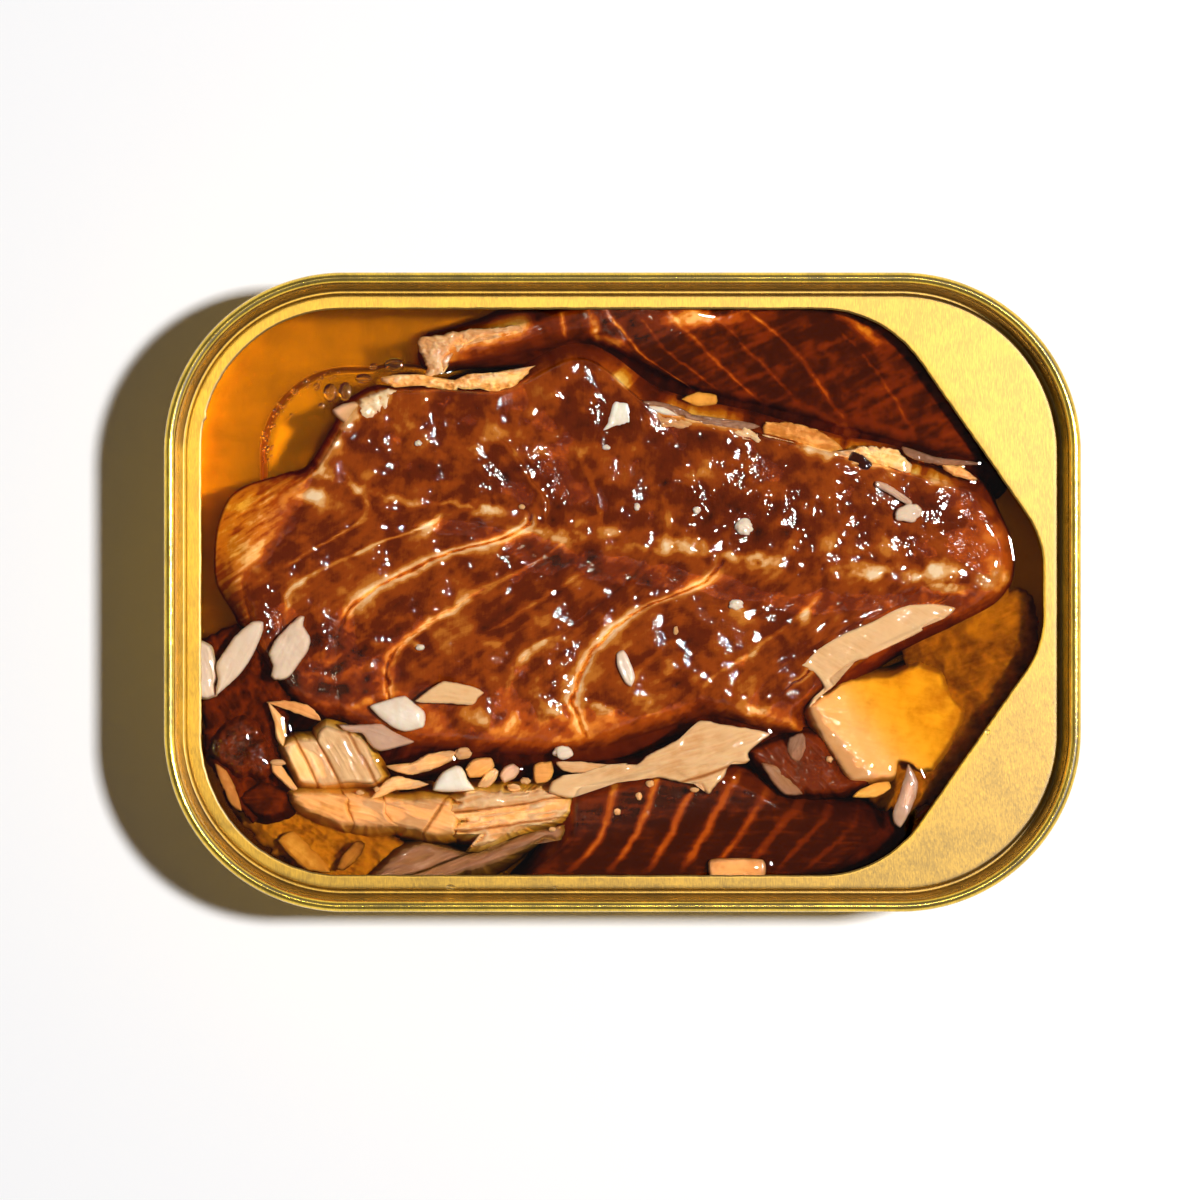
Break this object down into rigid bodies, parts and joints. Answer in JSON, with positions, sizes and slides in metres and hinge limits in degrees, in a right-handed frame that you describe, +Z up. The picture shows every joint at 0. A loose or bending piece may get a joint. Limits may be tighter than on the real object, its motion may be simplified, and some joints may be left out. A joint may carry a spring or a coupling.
{
  "type": "tin of smoked trout",
  "caption": "Opened oblong gold fish tin with its lid torn out, holding smoked trout fillets and flakes in amber oil.",
  "frame": {"origin": "centre of the tin's footprint, on the surface it stands on", "axes": "+X along the tin's long side towards the narrow end of the opening, +Y across it, +Z up out of the opening"},
  "size_m": [0.109, 0.076, 0.0225],
  "materials": {
    "gold_tin": "glossy gold lacquer",
    "gold_lid": "glossy gold lacquer with a fine grain",
    "oil": "clear amber oil",
    "glazed_flesh": "oily brown smoked glaze",
    "pale_flesh": "moist beige flesh",
    "white_scraps": "moist pale flesh"
  },
  "bodies": {
    "root": {"amber_lump": "pale_flesh", "beige_chip": "pale_flesh", "corner_flesh": "glazed_flesh", "curved_strip": "pale_flesh", "dark_flesh": "glazed_flesh", "dark_lump": "glazed_flesh", "edge_flake_left": "pale_flesh", "edge_flake_right": "pale_flesh", "fillet_back": "glazed_flesh", "fillet_front": "glazed_flesh", "fillet_main": "glazed_flesh", "flake_block": "pale_flesh", "flake_right": "pale_flesh", "flap_front": "pale_flesh", "frayed_flesh": "pale_flesh", "front_flesh": "pale_flesh", "grey_flake": "white_scraps", "grey_lump": "white_scraps", "grey_sliver": "white_scraps", "left_chip_inner": "white_scraps", "left_chip_outer": "pale_flesh", "lid_ring": "gold_lid", "oil": "oil", "pale_block": "white_scraps", "pink_chip": "pale_flesh", "pink_strip": "pale_flesh", "row_flake_1": "pale_flesh", "row_flake_2": "pale_flesh", "row_flake_3": "pale_flesh", "stick": "pale_flesh", "strip_lower": "pale_flesh", "strip_upper": "pale_flesh", "sunk_bit": "pale_flesh", "sunk_strip_long": "pale_flesh", "sunk_strip_short": "pale_flesh", "tan_lump_left": "pale_flesh", "tan_lump_right": "pale_flesh", "thin_strip": "pale_flesh", "tin_body": "gold_tin", "wall_chip": "white_scraps", "white_chip": "white_scraps", "white_sliver": "white_scraps", "white_wedge": "white_scraps", "yellow_bit": "pale_flesh"}
  },
  "joints": []
}
